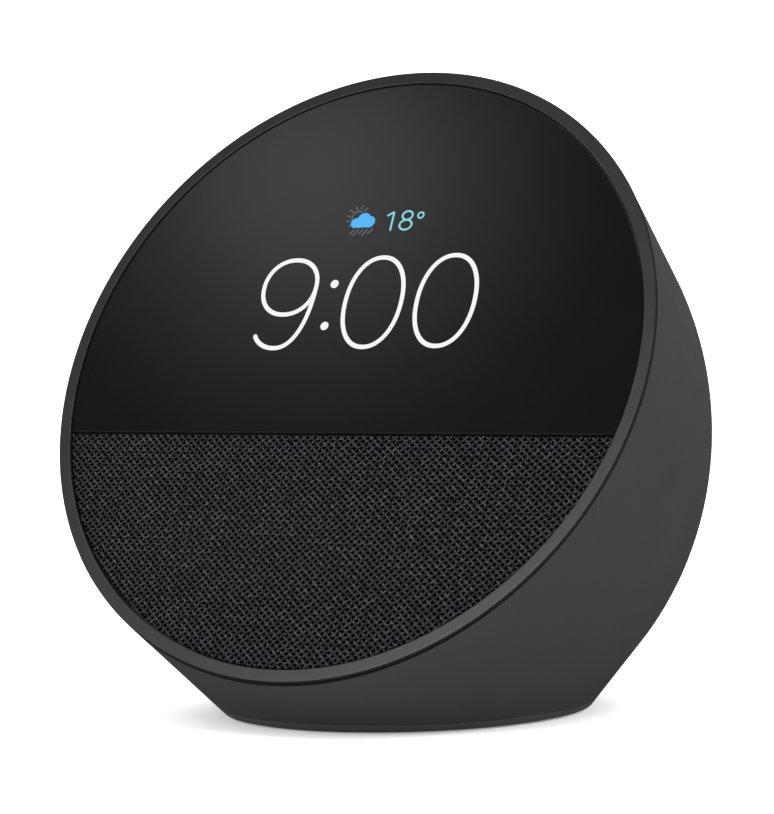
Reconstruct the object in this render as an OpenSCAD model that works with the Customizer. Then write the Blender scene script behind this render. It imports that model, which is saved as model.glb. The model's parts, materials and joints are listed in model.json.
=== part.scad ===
// Smart display: a round face that leans back, with a touch screen above a cloth
// covered loudspeaker, in a one-piece rounded shell that stands on an oval foot.
// +Z is up, the face looks towards -Y, and the origin is on the table under the
// middle of the body. Lengths are in millimetres and angles in degrees.

/* [Face] */
// Outer diameter of the round face
face_d = 113; // [109:0.5:117]
// Angle that the face leans back from upright
face_tilt = 24.65; // [22:0.05:27]
// Height of the middle of the face above the table
face_z = 60.2; // [59:0.1:62]
// Distance of the middle of the face in front of the middle of the body
face_forward = 27.95; // [27:0.05:29]
// Width of the flat trim ring around the face
ring_w = 2.2; // [1.8:0.1:2.6]
// Distance of the straight edge of the screen glass below the middle of the face
chord_drop = 12.8; // [11:0.1:14]

/* [Shell] */
// Half width of the domed back
dome_rx = 50.8; // [50:0.1:52]
// Half depth of the domed back
dome_ry = 52.7; // [52:0.1:54]
// Half height of the domed back
dome_rz = 56.3; // [55:0.1:58]
// Height of the middle of the domed back
dome_z = 48.5; // [48:0.1:50]
// Distance of the middle of the domed back in front of the middle of the body
dome_forward = 1.25; // [0.8:0.05:2]
// Wall thickness of the shell
wall = 1.8; // [1.6:0.1:2]

/* [Foot] */
// Half width of the foot
foot_rx = 29.5; // [28:0.1:31]
// Half depth of the foot
foot_ry = 37.5; // [36:0.1:39]
// Distance of the middle of the foot in front of the middle of the body
foot_forward = 4.5; // [4:0.1:5]

/* [Screen] */
// Width of the screen module
lcd_w = 63; // [60:0.5:64]
// Height of the screen module
lcd_h = 46; // [43:0.5:46]
// Height of the middle of the screen above the middle of the face
lcd_up = 12.3; // [12.2:0.1:13]

/* [Loudspeaker] */
// Outer radius of the loudspeaker frame
driver_r = 20; // [19.5:0.1:20.2]
// Distance of the loudspeaker's axis below the middle of the face
driver_drop = 31.6; // [31.4:0.1:31.8]

/* [Buttons] */
// Radius of a button cap
button_r = 4; // [3.6:0.1:4.2]
// Distance between neighbouring buttons
button_pitch = 14; // [14:0.1:15]
// Place of the buttons up the back, as the angle on the dome's outline
button_angle = 50; // [46:1:56]
// Clearance around a button cap
button_gap = 0.2; // [0.15:0.05:0.3]

/* [Power inlet] */
// Height of the power inlet above the table
jack_z = 20; // [19:0.1:21]
// Radius of the inlet's bore, for a 5.5 mm plug
jack_bore_r = 2.8; // [2.78:0.01:2.85]

/* [Hidden] */
$fn = 64;
eps = 0.01;
far = 200;
// air between stacked pieces, and under a screw's head or a seated magnet
stack_gap = 0.05;
seat_gap = 0.02;

face_r = face_d / 2;
opening_r = face_r - ring_w;
glass_r = opening_r - 0.2;

// trim ring and the rim of the shell that it drops into
trim_chamfer = 0.3;
trim_lip = 0.55;
trim_neck_in = 1.55;
trim_neck_low = -3;
trim_hook_in = 3.1;
trim_hook_low = -4.6;
trim_inner_in = 4.5;
rebate_in = 1.3;
rebate_low = -3.3;
rim_inset = 0.16;

// heights in the face's own frame: 0 is the front of the trim ring, inwards is negative
glass_top = -0.3;
glass_t = 1.1;
shell_front = -0.9;
ledge = -1.5;
cloth_top = -0.45;
cloth_t = 0.5;
frame_top = -1.05;
frame_back = -3.0;
touch_top = -1.45;
touch_t = 0.3;
lcd_t = 1.6;
backlight_t = 2.0;
bracket_t = 0.6;
lcd_top = touch_top - touch_t - stack_gap;
backlight_top = lcd_top - lcd_t - stack_gap;
bracket_top = backlight_top - backlight_t - stack_gap;
carrier_top = -6.6;
carrier_t = 2;
carrier_back = carrier_top - carrier_t;
carrier_r = 51;
board_top = -13;
board_t = 1.4;
board_back = board_top - board_t;
board_r = 43.5;
board_low = -8;
board_w = 82;
board_h = 53;
processor_up = 17;
sink_w = 46;
sink_h = 34;
fin_pitch = 5;
fin_t = 1.4;
fin_end = 11.5;
// across, up, width and height on the board's back, and how far each stands off it
connectors = [[7, 38.5, 8, 4, 3], [12, -4, 7, 5, 3.2], [-18, -4, 6, 5, 3.2], [22, 4, 5, 4, 1.6]];
chips = [
    [-18, 17, 7, 12, 1.2], [18, 17, 7, 12, 1.2], [-28, 10, 6, 6, 1.1],
    [-6, -4, 4.4, 4.4, 2.4], [6, -4, 4.4, 4.4, 2.4]
];

// fastenings
boss_ring_r = 47.5;
boss_r = 3;
boss_len = 14;
rib_t = 2;
rib_reach = 12;
boss_angles = [20, 70, 110, 160, 232, 308];
pilot_r = 1.05;
shank_r = 1;
board_posts = [[-36, 14], [36, 14], [-18, 36], [18, 36], [-34, -3], [34, -3]];
post_r = 2.6;
driver_screw_r = driver_r - 1.4;
driver_screw_angles = [45, 135, 225, 315];
sensor_up = 43;
sensor_w = 8;
sensor_h = 4;
bracket_ear_w = 6.4;
bracket_ear_h = 7;
bracket_ears = [[-33.5, 20], [33.5, 20], [-33.5, -3], [33.5, -3]];

// loudspeaker, in its own frame: 0 is the front of the trim ring on its axis
flange_top = carrier_top + 1.6;
cone_r = driver_r - 4.6;
surround_in = cone_r + 0.15;
surround_out = driver_r - 2.7;
coil_r = 6;
magnet_r = 13;
top_plate_top = -17.4;
magnet_top = top_plate_top - 2;
yoke_top = magnet_top - 6;
yoke_t = 2;

// buttons: the cap's axis stands square on the shell's outline at button_angle
button_y = -dome_forward + dome_ry * cos(button_angle);
button_z = dome_z + dome_rz * sin(button_angle);
button_lean = atan2(sin(button_angle) / dome_rz, cos(button_angle) / dome_ry);
button_xs = [-button_pitch, 0, button_pitch];
across_r = 46.9;
proud = 0.4;
collar_depth = 6.95;
flange_depth = 7;
flange_t = 1;
flange_lip = 1.1;
collar_wall = 1.8;
stem_r = 1.3;
plunger_r = 0.9;
stem_end = 8.9;
plunger_end = 10.2;
switch_top = 9.75;
switch_t = 1.2;
button_board_top = 11;
button_board_t = 1;
button_board_w = 52;
button_board_post_x = 22.5;
button_post_r = 2.2;
switch_w = 4.5;
mic_w = 3.4;
mic_h = 2.6;
mic_t = 0.95;
mic_x = button_pitch / 2;
mic_port_r = 0.5;

// power inlet
jack_floor_y = 39.5;
jack_floor_t = 2;
jack_pocket_r = 6;
jack_wall = 1.6;
jack_post_r = 2.1;
jack_post_x = 7.6;
jack_post_y = 31;
jack_collar_r = 4.4;
jack_body = 10.6;
jack_len = 12;
jack_front_y = jack_floor_y - jack_floor_t - 0.2;
jack_mouth_y = jack_floor_y - 0.3;
jack_collar_len = 2.5;
power_board_t = 1.3;
power_board_w = 21;
power_board_y = 25;
power_board_depth = 10.6;
power_board_z = jack_z - jack_body / 2 - power_board_t - 0.1;
jack_pin_r = 1;
jack_pin_back = jack_front_y - jack_len - 0.2;
jack_pin_front = jack_mouth_y - jack_collar_len - 0.7;

// foot and floor
shell_low = 1.6;
floor_top = 4.6;
pad_t = 0.9;
rim_low = 0.3;
rim_w = 6;
rim_wall = 0.9;
pad_inset = 1;
weight_y = 8;
weight_z = floor_top + 0.1;
weight_t = 6;
weight_rx = 21;
weight_ry = 20;
weight_pilot_z = 2.9;
weight_holes = [[-14, 0], [14, 0], [0, 14], [0, -14]];

// routes of the inner leads, in the body's own frame
function face_point(x, u, w) = [
    x, -face_forward + u * sin(face_tilt) - w * cos(face_tilt),
    face_z + u * cos(face_tilt) + w * sin(face_tilt)
];
power_route = [
    [3, 25.2, 22.6], [3, 21, 22.8], [5, 15, 25], [8, 8, 32], [11, 0, 40],
    face_point(12, -5, -23), face_point(12, -4, -17.7)
];
speaker_route = [
    for (p = [[-16, -27.2, -10.5], [-19, -25, -13.5], [-21, -19, -19], [-20.5, -11, -23],
        [-18.6, -5.5, -22.5], [-18, -4, -17.7]]) face_point(p[0], p[1], p[2])
];

lead_pitch = 2.2;
power_lead_r = 0.8;
speaker_lead_r = 0.6;

function oval(rx, ry, n = 96) = [for (i = [0 : n - 1]) [rx * cos(i * 360 / n), ry * sin(i * 360 / n)]];

// a point and the direction on a smooth curve through the route's points
function spline(p, i, t) =
    let (n = len(p) - 1, a = p[max(i - 1, 0)], b = p[i], c = p[min(i + 1, n)], d = p[min(i + 2, n)])
    0.5 * (2 * b + (c - a) * t + (2 * a - 5 * b + 4 * c - d) * t * t
        + (3 * b - a - 3 * c + d) * t * t * t);
function route(p, steps = 4) = [
    for (i = [0 : len(p) - 2]) for (k = [0 : steps - 1]) spline(p, i, k / steps),
    p[len(p) - 1]
];
function unit(v) = v / norm(v);
function heading(p, i) = unit(p[min(i + 1, len(p) - 1)] - p[max(i - 1, 0)]);

// A round lead swept along a route
module lead(points, r, sides = 8) {
    p = route(points);
    rings = [
        for (i = [0 : len(p) - 1])
            let (h = heading(p, i), a = unit(cross(h, [1, 0, 0])), b = cross(h, a))
            for (k = [0 : sides - 1]) p[i] + r * (a * cos(k * 360 / sides) + b * sin(k * 360 / sides))
    ];
    last = (len(p) - 1) * sides;
    walls = [
        for (i = [0 : len(p) - 2]) for (k = [0 : sides - 1])
            let (m = (k + 1) % sides)
            [i * sides + k, i * sides + m, (i + 1) * sides + m, (i + 1) * sides + k]
    ];
    ends = [[for (k = [sides - 1 : -1 : 0]) k], [for (k = [0 : sides - 1]) last + k]];
    polyhedron(rings, concat(walls, ends), convexity = 6);
}

// A flat ribbon cable: a strip of even thickness along a route in the U and W plane
module ribbon(points, w, t = 0.2) {
    p = route(points);
    side = [for (i = [0 : len(p) - 1]) let (h = heading(p, i)) [-h[1], h[0]] * t / 2];
    rotate([90, 0, 90]) linear_extrude(w, center = true)
        polygon(concat(
            [for (i = [0 : len(p) - 1]) p[i] + side[i]],
            [for (i = [len(p) - 1 : -1 : 0]) p[i] - side[i]]
        ));
}

// Places a child in the face's frame: X across, Y up the face, Z straight out of it
module on_face() {
    translate([0, -face_forward, face_z]) rotate([90 - face_tilt, 0, 0]) children();
}

// Places a child on the loudspeaker's axis, in the same directions as the face
module on_driver() {
    on_face() translate([0, -driver_drop, 0]) children();
}

// Places a child at the buttons, with Z pointing out of the shell
module on_buttons() {
    translate([0, button_y, button_z]) rotate([-(90 - button_lean), 0, 0]) children();
}

// Points a child's Z towards the back of the body
module facing_back(y) {
    translate([0, y, jack_z]) rotate([-90, 0, 0]) children();
}

module ring(r_out, r_in, top, bottom) {
    translate([0, 0, bottom]) difference() {
        cylinder(r = r_out, h = top - bottom);
        translate([0, 0, -1]) cylinder(r = r_in, h = top - bottom + 2);
    }
}

module slab(w, h, top, bottom) {
    translate([-w / 2, -h / 2, bottom]) cube([w, h, top - bottom]);
}

// A pan-head screw whose head sits at Z 0 and whose shank runs down from it
module screw(length, head_r = 1.9, head_t = 1.3) {
    difference() {
        union() {
            cylinder(r = head_r, h = head_t, $fn = 24);
            translate([0, 0, -length]) cylinder(r = shank_r, h = length + eps, $fn = 24);
        }
        for (a = [0, 90]) rotate(a) translate([-1.2, -0.25, head_t - 0.6]) cube([2.4, 0.5, 1]);
    }
}

// The body's rounded form: round face, domed back and oval foot under one skin
module body_form(inset, low, facets) {
    hull() {
        on_face() translate([0, 0, -eps]) cylinder(r = face_r - inset, h = eps, $fn = 2 * facets);
        intersection() {
            translate([0, -dome_forward, dome_z])
                scale([dome_rx - inset, dome_ry - inset, dome_rz - inset]) sphere(1, $fn = facets);
            on_face() translate([-far / 2, -far / 2, -far]) cube(far);
            translate([-far / 2, -far / 2, low]) cube(far);
        }
        translate([0, -foot_forward, low]) linear_extrude(eps)
            polygon(oval(foot_rx - inset, foot_ry - inset, facets));
    }
}

// Bosses inside the shell for the carrier, each tied to the wall by a rib
module carrier_bosses() {
    on_face() for (a = boss_angles) rotate(a) {
        translate([boss_ring_r, 0, carrier_back - boss_len])
            cylinder(r = boss_r, h = boss_len - 2 * stack_gap, $fn = 24);
        translate([boss_ring_r, -rib_t / 2, carrier_back - boss_len]) cube([rib_reach, rib_t, boss_len - rib_t]);
    }
}

module carrier_pilots() {
    on_face() for (a = boss_angles) rotate(a)
        translate([boss_ring_r, 0, carrier_back - 9]) cylinder(r = pilot_r, h = 12, $fn = 24);
}

module rear_shell() {
    // resizing to the shell's own width keeps its size and joins it into one skin
    color("#3a3b3c") resize([face_d - 2 * rim_inset * abs(shell_front), 0, 0]) difference() {
        union() {
            difference() {
                body_form(0, 0, 72);
                body_form(wall, floor_top, 48);
            }
            intersection() {
                body_form(wall / 2, 0, 40);
                union() {
                    carrier_bosses();
                    on_buttons() {
                        for (x = button_xs) translate([x, 0, -collar_depth])
                            cylinder(r = button_r + collar_wall, h = 9, $fn = 32);
                        for (s = [-1, 1]) translate([s * button_board_post_x, 0, -button_board_top + stack_gap])
                            cylinder(r = button_post_r, h = 9, $fn = 24);
                    }
                    facing_back(jack_floor_y - jack_floor_t)
                        cylinder(r = jack_pocket_r + jack_wall, h = 20, $fn = 48);
                    for (s = [-1, 1]) translate([s * jack_post_x, jack_post_y, 1])
                        cylinder(r = jack_post_r, h = power_board_z - 1 - stack_gap, $fn = 24);
                }
            }
        }
        on_face() translate([-far / 2, -far / 2, shell_front]) cube(far);
        on_face() translate([0, 0, rebate_low]) cylinder(r = face_r - rebate_in, h = 4, $fn = 144);
        translate([-far / 2, -far / 2, shell_low - far]) cube(far);
        carrier_pilots();
        on_buttons() {
            for (x = button_xs) translate([x, 0, -20]) cylinder(r = button_r + button_gap, h = 40, $fn = 48);
            for (x = [-mic_x, mic_x]) translate([x, 0, -8]) cylinder(r = mic_port_r, h = 20, $fn = 16);
            for (s = [-1, 1]) translate([s * button_board_post_x, 0, -button_board_top - 1])
                cylinder(r = pilot_r, h = 4, $fn = 24);
        }
        facing_back(jack_floor_y) cylinder(r = jack_pocket_r, h = 40, $fn = 64);
        facing_back(jack_floor_y - 5) cylinder(r = jack_collar_r + 0.2, h = 10, $fn = 48);
        for (s = [-1, 1]) translate([s * jack_post_x, jack_post_y, 6]) cylinder(r = pilot_r, h = 20, $fn = 24);
        for (p = weight_holes) translate([p[0], weight_y + p[1], weight_pilot_z])
            cylinder(r = pilot_r, h = 4, $fn = 24);
    }
}

module bezel_ring() {
    color("#46474a") on_face() rotate_extrude($fn = 180) polygon([
        [opening_r, 0], [face_r - trim_chamfer, 0], [face_r, -trim_chamfer], [face_r, -trim_lip],
        [face_r - trim_neck_in, -trim_lip], [face_r - trim_neck_in, trim_neck_low],
        [face_r - trim_hook_in, trim_neck_low], [face_r - trim_hook_in, trim_hook_low],
        [face_r - trim_inner_in, trim_hook_low], [face_r - trim_inner_in, ledge], [opening_r, ledge]
    ]);
}

// A disc of the face with only what lies above or below the straight edge
module upper_segment(r, top, bottom, gap = 0.12) {
    intersection() {
        translate([0, 0, bottom]) cylinder(r = r, h = top - bottom, $fn = 180);
        translate([-far / 2, -chord_drop + gap, -far / 2]) cube(far);
    }
}

module lower_segment(r, top, bottom, gap = 0.12) {
    intersection() {
        translate([0, 0, bottom]) cylinder(r = r, h = top - bottom, $fn = 180);
        translate([-far / 2, -chord_drop - gap - far, -far / 2]) cube(far);
    }
}

module display_glass() {
    color("#0b0c0d") on_face() upper_segment(glass_r, glass_top, glass_top - glass_t);
}

module touch_panel() {
    color("#20262a") on_face() upper_segment(glass_r - 2.8, touch_top, touch_top - touch_t, 0.5);
}

module lcd_panel() {
    color("#101418") on_face() translate([0, lcd_up, 0]) slab(lcd_w, lcd_h, lcd_top, lcd_top - lcd_t);
}

module lcd_backlight() {
    color("#dfe3e6") on_face() translate([0, lcd_up, 0])
        slab(lcd_w - 1, lcd_h - 1, backlight_top, backlight_top - backlight_t);
}

module lcd_bracket() {
    color("#9a9ea2") on_face() difference() {
        union() {
            translate([0, lcd_up, 0]) slab(lcd_w, lcd_h, bracket_top, bracket_top - bracket_t);
            for (e = bracket_ears) translate([e[0], e[1], 0])
                slab(bracket_ear_w, bracket_ear_h, bracket_top, bracket_top - bracket_t);
        }
        translate([0, lcd_up + 4, 0]) slab(lcd_w - 20, lcd_h - 24, bracket_top + 1, bracket_top - 2);
        for (e = bracket_ears) translate([e[0], e[1], -far / 2]) cylinder(r = pilot_r + 0.2, h = far, $fn = 24);
    }
}

module light_sensor() {
    color("#2d5a3a") on_face() translate([0, sensor_up, 0]) {
        slab(sensor_w, sensor_h, touch_top - touch_t - 0.1, touch_top - touch_t - 0.7);
        slab(2.2, 1.8, touch_top - touch_t - 0.65, touch_top - touch_t - 1.5);
    }
}

module grille_cloth() {
    color("#26282c") on_face() lower_segment(glass_r, cloth_top, cloth_top - cloth_t);
}

module grille_frame() {
    slot_h = 3;
    slot_pitch = 4.6;
    color("#1b1c1d") on_face() difference() {
        union() {
            lower_segment(glass_r - 0.1, frame_top, ledge + stack_gap);
            lower_segment(face_r - 4.7, ledge + 0.06, frame_back, 1.2);
        }
        for (v = [-chord_drop - 4.2 : -slot_pitch : -47]) {
            half = sqrt(pow(face_r - 7, 2) - pow(v, 2));
            for (s = [-1, 0, 1]) translate([s * (2 * half + 1.4) / 3, v, 0])
                slab((2 * half - 2.8) / 3, slot_h, 1, -far);
        }
    }
}

module front_carrier() {
    color("#2a2b2c") on_face() difference() {
        union() {
            translate([0, 0, carrier_back]) cylinder(r = carrier_r, h = carrier_t, $fn = 120);
            for (p = board_posts) translate([p[0], p[1], board_top + stack_gap])
                cylinder(r = post_r, h = carrier_back - board_top + 0.1, $fn = 24);
            for (e = bracket_ears) translate([e[0], e[1], carrier_top - eps])
                cylinder(r = 2.4, h = bracket_top - bracket_t - stack_gap - carrier_top, $fn = 24);
        }
        translate([0, -driver_drop, -far / 2]) cylinder(r = driver_r - 2.4, h = far);
        for (a = driver_screw_angles) translate([0, -driver_drop, 0]) rotate(a)
            translate([driver_screw_r, 0, -far / 2]) cylinder(r = pilot_r, h = far, $fn = 24);
        for (a = boss_angles) rotate(a)
            translate([boss_ring_r, 0, -far / 2]) cylinder(r = pilot_r + 0.25, h = far, $fn = 24);
        for (p = board_posts) translate([p[0], p[1], board_top - 1]) cylinder(r = pilot_r, h = 5.2, $fn = 24);
        for (e = bracket_ears) translate([e[0], e[1], -7.7]) cylinder(r = pilot_r, h = 5, $fn = 24);
        translate([0, -6.5, 0]) slab(22, 6, 1, -far);
        translate([0, 18, 0]) slab(44, 26, 1, -far);
    }
}

module speaker_gasket() {
    color("#17181a") on_driver()
        ring(driver_r - 0.2, surround_out + 0.1, frame_back - stack_gap, flange_top + 1.55);
}

module speaker_basket() {
    color("#8d9296") on_driver() difference() {
        rotate_extrude($fn = 96) polygon([
            [driver_r, flange_top], [driver_r, flange_top - 1.5], [driver_r - 2.8, flange_top - 1.5],
            [13.4, -17.35], [7.4, -17.35], [7.4, -16.2], [12.5, -16.2], [surround_out - 0.4, flange_top - 0.8],
            [surround_out - 0.4, flange_top - stack_gap], [surround_out - 0.4, flange_top]
        ]);
        for (a = [0 : 60 : 300]) rotate(a) translate([12, -4, -14.8]) cube([20, 8, 6.5]);
        for (a = driver_screw_angles) rotate(a)
            translate([driver_screw_r, 0, -far / 2]) cylinder(r = pilot_r + 0.1, h = far, $fn = 24);
    }
}

// A ring of soft rolled edge, as an arch from one radius to another
module roll(r_in, r_out, base, height, t) {
    mid = (r_in + r_out) / 2;
    half = (r_out - r_in) / 2;
    rotate_extrude($fn = 96) polygon(concat(
        [for (i = [0 : 10]) [mid - half * cos(i * 18), base + height * sin(i * 18)]],
        [for (i = [10 : -1 : 0]) [mid - (half - t * 0.4) * cos(i * 18), base - t + (height) * sin(i * 18)]]
    ));
}

module speaker_surround() {
    color("#111214") on_driver() roll(surround_in, surround_out, flange_top + 0.5, 1.1, 0.35);
}

module speaker_spider() {
    color("#a8772e") on_driver() translate([0, 0, -15.5]) rotate_extrude($fn = 96) polygon(concat(
        [for (i = [0 : 24]) [coil_r + 0.5 + i * 0.225, 0.35 * sin(i * 60)]],
        [for (i = [24 : -1 : 0]) [coil_r + 0.5 + i * 0.225, 0.35 * sin(i * 60) + 0.25]]
    ));
}

module speaker_top_plate() {
    color("#7c8187") on_driver() ring(magnet_r - 0.6, coil_r + 0.45, top_plate_top, magnet_top + seat_gap);
}

module speaker_magnet() {
    color("#3b3f44") on_driver() ring(magnet_r, 8.2, magnet_top, yoke_top + seat_gap);
}

module speaker_yoke() {
    color("#7c8187") on_driver() {
        translate([0, 0, yoke_top - yoke_t]) cylinder(r = magnet_r - 0.4, h = yoke_t);
        translate([0, 0, yoke_top - eps]) cylinder(r = coil_r - 0.75, h = top_plate_top - yoke_top + 0.2);
    }
}

module voice_coil() {
    color("#b5651d") on_driver() ring(coil_r, coil_r - 0.35, -12.6, -21.5);
}

module speaker_cone() {
    color("#202225") on_driver() rotate_extrude($fn = 96) polygon([
        [cone_r, flange_top], [cone_r, flange_top - 0.5], [coil_r + 0.3, -12.5], [coil_r + stack_gap, -12.5],
        [coil_r + stack_gap, -11.7], [cone_r - 0.6, flange_top - 0.1], [cone_r - 0.4, flange_top]
    ]);
}

module dust_cap() {
    cap_r = coil_r;
    rise = 1.8;
    sphere_r = (cap_r * cap_r + rise * rise) / (2 * rise);
    color("#2a2c30") on_driver() translate([0, 0, -12.4]) difference() {
        translate([0, 0, rise - sphere_r]) sphere(sphere_r, $fn = 64);
        translate([0, 0, rise - sphere_r]) sphere(sphere_r - 0.4, $fn = 64);
        translate([-far / 2, -far / 2, -far]) cube(far);
    }
}

module main_board() {
    color("#1f5a3c") on_face() difference() {
        intersection() {
            translate([0, 0, board_back]) cylinder(r = board_r, h = board_t, $fn = 96);
            translate([-board_w / 2, board_low, -far / 2]) cube([board_w, board_h, far]);
        }
        for (p = board_posts) translate([p[0], p[1], -far / 2]) cylinder(r = pilot_r + 0.2, h = far, $fn = 24);
    }
}

module processor_shield() {
    color("#c2c6ca") on_face() translate([0, processor_up, 0]) difference() {
        slab(26, 24, board_back - stack_gap, board_back - 2.2);
        slab(25, 23, board_back, board_back - 1.9);
    }
}

module thermal_pad() {
    color("#8fb0c9") on_face() translate([0, processor_up, 0]) slab(22, 20, board_back - 2.25, board_back - 3.2);
}

module heat_sink() {
    color("#b9bdc1") on_face() translate([0, processor_up, 0]) {
        slab(sink_w, sink_h, board_back - 3.25, board_back - 5.2);
        for (i = [-4 : 4]) translate([i * fin_pitch, 0, 0])
            slab(fin_t, sink_h - 2, board_back - 5.19, board_back - fin_end);
    }
}

module wifi_module() {
    color("#d4d7da") on_face() translate([-27, 26, 0]) {
        slab(9, 13, board_back - stack_gap, board_back - 0.9);
        slab(8, 10, board_back - 0.89, board_back - 2.2);
    }
}

module board_connectors() {
    color("#ece5d2") on_face() {
        slab(20, 3.6, board_top + 1.5, board_top + stack_gap);
        for (c = connectors) translate([c[0], c[1], 0])
            slab(c[2], c[3], board_back - stack_gap, board_back - c[4]);
    }
}

module board_chips() {
    color("#1a1b1d") on_face() {
        for (c = chips) translate([c[0], c[1], 0]) slab(c[2], c[3], board_back - stack_gap, board_back - c[4]);
        for (x = [-24 : 6 : 24]) translate([x, 28, 0]) slab(2, 3.2, board_top + 0.9, board_top + stack_gap);
    }
}

module antenna_board() {
    color("#234f86") on_face() translate([0, 47, 0]) slab(24, 4, carrier_back - stack_gap, carrier_back - 0.75);
}

module display_flex() {
    color("#c98b2b") on_face() ribbon([[3, -6.3], [-3, -6.35], [-5.6, -6.8], [-6.6, -8.2],
        [-6.4, -10.2], [-4.6, -11.9], [-1.9, -12.2]], 16);
}

module button_board() {
    color("#1f5a3c") on_buttons() difference() {
        slab(button_board_w, 9, -button_board_top, -button_board_top - button_board_t);
        for (s = [-1, 1]) translate([s * button_board_post_x, 0, -far / 2])
            cylinder(r = pilot_r + 0.15, h = far, $fn = 24);
    }
}

module tact_switches() {
    color("#c9ccd0") on_buttons() for (x = button_xs) translate([x, 0, 0]) difference() {
        slab(switch_w, switch_w, -switch_top, -switch_top - switch_t);
        translate([0, 0, 0.1 - switch_top - switch_t]) cylinder(r = plunger_r + 0.1, h = 3, $fn = 24);
    }
}

module microphones() {
    color("#d8b45a") on_buttons() for (x = [-mic_x, mic_x]) translate([x, 0, 0])
        slab(mic_w, mic_h, stack_gap + mic_t - button_board_top, stack_gap - button_board_top);
}

module mic_gaskets() {
    color("#141516") on_buttons() for (x = [-mic_x, mic_x]) translate([x, 0, 0])
        ring(0.95, mic_port_r, -2.8, 2 * stack_gap + mic_t - button_board_top, $fn = 24);
}

module button_flex() {
    color("#c98b2b") translate([7, 0, 0]) ribbon([
        [24.4, 82.3], [21.6, 79.4], [17, 78.6], [12.5, 80.4], [8.6, 83.6], [6, 85.9], [4.2, 87.6]
    ], 5);
}

// One button cap: its top follows the shell's curve and stands a little proud
module button_cap(x) {
    color("#454648") on_buttons() {
        intersection() {
            translate([x, 0, -flange_depth]) cylinder(r = button_r, h = 20, $fn = 64);
            translate([0, 0, -across_r]) sphere(across_r + proud, $fn = 96);
        }
        translate([x, 0, -flange_depth - flange_t]) cylinder(r = button_r + flange_lip, h = flange_t + eps, $fn = 64);
        translate([x, 0, -stem_end]) cylinder(r = stem_r, h = 1, $fn = 32);
    }
}

module plunger(x) {
    color("#e8e8e4") on_buttons() translate([x, 0, -plunger_end])
        cylinder(r = plunger_r, h = plunger_end - stem_end - stack_gap, $fn = 24);
}

module volume_down_button() { button_cap(button_pitch); }
module volume_down_plunger() { plunger(button_pitch); }
module mic_off_button() { button_cap(0); }
module mic_off_plunger() { plunger(0); }
module volume_up_button() { button_cap(-button_pitch); }
module volume_up_plunger() { plunger(-button_pitch); }

module dc_jack() {
    back = jack_front_y - jack_len;
    color("#161719") difference() {
        union() {
            translate([-jack_body / 2, back, jack_z - jack_body / 2]) cube([jack_body, jack_len, jack_body]);
            facing_back(jack_front_y - eps) cylinder(r = jack_collar_r, h = jack_mouth_y - jack_front_y);
        }
        facing_back(back + 2) cylinder(r = jack_bore_r + 0.4, h = jack_mouth_y - jack_collar_len - back - 2);
        facing_back(back + 3) cylinder(r = jack_bore_r, h = jack_len + 5);
        facing_back(back - 1) cylinder(r = jack_pin_r + stack_gap, h = 5);
    }
}

module jack_pin() {
    color("#cfa24a") facing_back(jack_pin_back) cylinder(r = jack_pin_r, h = jack_pin_front - jack_pin_back);
}

module power_board() {
    color("#1f5a3c") difference() {
        translate([-power_board_w / 2, power_board_y, power_board_z])
            cube([power_board_w, power_board_depth, power_board_t]);
        for (s = [-1, 1]) translate([s * jack_post_x, jack_post_y, power_board_z - 1])
            cylinder(r = pilot_r + 0.15, h = 4, $fn = 24);
    }
}

module power_cable() {
    color("#b3261e") lead(power_route, power_lead_r);
    color("#1a1a1a") translate([-lead_pitch, 0, 0]) lead(power_route, power_lead_r);
}

module speaker_wires() {
    color("#d8d8d8") lead(speaker_route, speaker_lead_r);
    color("#b3261e") translate([-lead_pitch, 0, 0]) lead(speaker_route, speaker_lead_r);
}

module base_weight() {
    color("#5d6165") translate([0, weight_y, weight_z]) difference() {
        linear_extrude(weight_t) polygon(oval(weight_rx, weight_ry));
        for (p = weight_holes) translate([p[0], p[1], -1]) cylinder(r = pilot_r + 0.2, h = 9, $fn = 24);
    }
}

// The rim under the shell, which carries the shell's own outline down to the table
module foot_ring() {
    color("#58595b") difference() {
        intersection() {
            body_form(0, 0, 72);
            translate([-far / 2, -far / 2, rim_low]) cube([far, far, shell_low - 0.06 - rim_low]);
        }
        translate([0, -foot_forward, -1]) linear_extrude(pad_t + 1 + stack_gap)
            polygon(oval(foot_rx - rim_wall, foot_ry - rim_wall));
        translate([0, -foot_forward, -1]) linear_extrude(9) polygon(oval(foot_rx - rim_w, foot_ry - rim_w));
    }
}

module foot_pad() {
    color("#151515") translate([0, -foot_forward, 0]) linear_extrude(pad_t)
        polygon(oval(foot_rx - pad_inset, foot_ry - pad_inset));
}

module carrier_screws() {
    color("#b8bcc0") on_face() for (a = boss_angles) rotate(a)
        translate([boss_ring_r, 0, carrier_top + seat_gap]) screw(9);
}

module board_screws() {
    color("#b8bcc0") on_face() for (p = board_posts)
        translate([p[0], p[1], board_back - seat_gap]) rotate([180, 0, 0]) screw(4.5);
}

module speaker_screws() {
    color("#b8bcc0") on_driver() for (a = driver_screw_angles) rotate(a)
        translate([driver_screw_r, 0, flange_top + seat_gap]) screw(5, 1.2, 0.9);
}

module bracket_screws() {
    color("#b8bcc0") on_face() for (e = bracket_ears)
        translate([e[0], e[1], bracket_top + seat_gap]) screw(2, 1.7, 0.9);
}

module button_board_screws() {
    color("#b8bcc0") on_buttons() for (s = [-1, 1])
        translate([s * button_board_post_x, 0, -button_board_top - button_board_t - seat_gap])
            rotate([180, 0, 0]) screw(3);
}

module weight_screws() {
    color("#b8bcc0") for (p = weight_holes)
        translate([p[0], weight_y + p[1], weight_z + weight_t + seat_gap]) screw(weight_t + 1.4);
}

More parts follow.
